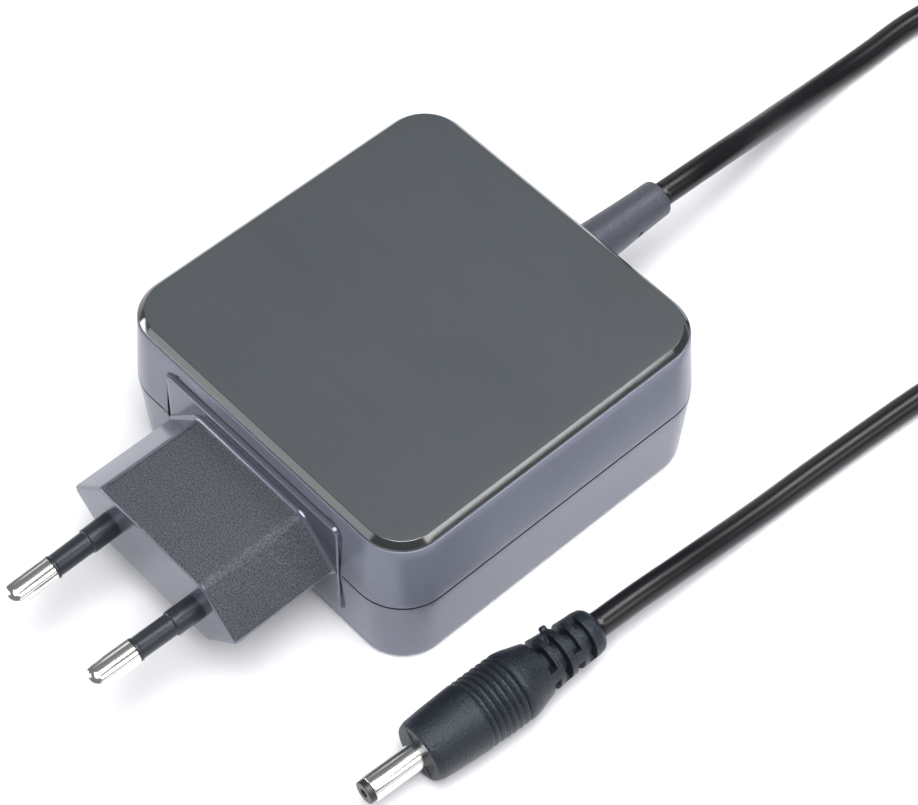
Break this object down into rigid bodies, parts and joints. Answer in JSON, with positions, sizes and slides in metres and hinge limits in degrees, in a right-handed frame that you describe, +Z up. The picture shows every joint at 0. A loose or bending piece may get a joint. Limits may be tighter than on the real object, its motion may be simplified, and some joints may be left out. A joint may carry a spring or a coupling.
{
  "type": "power adapter",
  "caption": "Square wall power adapter with a pull-off two-pin mains head, a bevelled cover and a thin low-voltage cord that is coiled, tied and ends in a round plug.",
  "frame": {"origin": "middle of the housing's underside", "axes": "+Z up through the cover; +Y out of the wall the cord leaves by, so the mains pins point along -Y; +X to the right with the pins towards the viewer"},
  "size_m": [0.104, 0.2051, 0.0285],
  "materials": {
    "shell_plastic": "satin, fine grain",
    "cover_plastic": "satin, fine grain",
    "head_plastic": "spark-eroded grain with polished facets",
    "nickel_plate": "bright nickel",
    "sleeve_plastic": "smooth",
    "carrier_plastic": "plain",
    "spring_bronze": "plain",
    "board_laminate": "solder mask",
    "fuse_ceramic": "plain",
    "coated_disc": "dipped epoxy",
    "ferrite": "ground",
    "enamelled_copper": "enamel",
    "yellow_box": "plain",
    "package_black": "moulded",
    "can_sleeve": "shrink sleeve",
    "winding_tape": "tape",
    "sheet_aluminium": "rolled",
    "package_white": "moulded",
    "barrier_sheet": "plain",
    "wire_insulation": "plain",
    "relief_plastic": "satin",
    "cord_jacket": "smooth satin",
    "tie_plastic": "woven strap",
    "plug_plastic": "fine grain"
  },
  "bodies": {
    "housing": {"lower_shell": "shell_plastic", "upper_shell": "shell_plastic", "top_cover": "cover_plastic", "contact_carrier": "carrier_plastic", "socket_contact_left": "spring_bronze", "socket_contact_right": "spring_bronze", "circuit_board": "board_laminate", "fuse": "fuse_ceramic", "thermistor": "coated_disc", "choke_core": "ferrite", "choke_winding": "enamelled_copper", "interference_capacitor": "yellow_box", "bridge_rectifier": "package_black", "bulk_capacitor": "can_sleeve", "transformer_core": "ferrite", "transformer_bobbin": "package_black", "transformer_winding": "winding_tape", "switching_transistor": "package_black", "primary_heatsink": "sheet_aluminium", "safety_capacitor": "coated_disc", "optocoupler": "package_white", "insulation_barrier": "barrier_sheet", "output_rectifier": "package_black", "secondary_heatsink": "sheet_aluminium", "output_capacitors": "can_sleeve", "output_inductor": "ferrite", "output_wires": "wire_insulation", "strain_relief": "relief_plastic", "cord_near_run": "cord_jacket", "cord_coil": "cord_jacket", "cord_far_run": "cord_jacket", "coil_tie": "tie_plastic", "low_voltage_plug": "plug_plastic", "plug_barrel": "nickel_plate", "tip_insulator": "plug_plastic", "centre_contact": "nickel_plate"},
    "mains_head": {"plug_head": "head_plastic", "mains_pin_left": "nickel_plate", "mains_pin_right": "nickel_plate", "pin_sleeve_left": "sleeve_plastic", "pin_sleeve_right": "sleeve_plastic"}
  },
  "joints": [
    {"name": "plug_head_pull", "type": "slide", "parent": "housing", "child": "mains_head", "axis": [0, -1, 0], "range_m": [0, 0.016]}
  ]
}
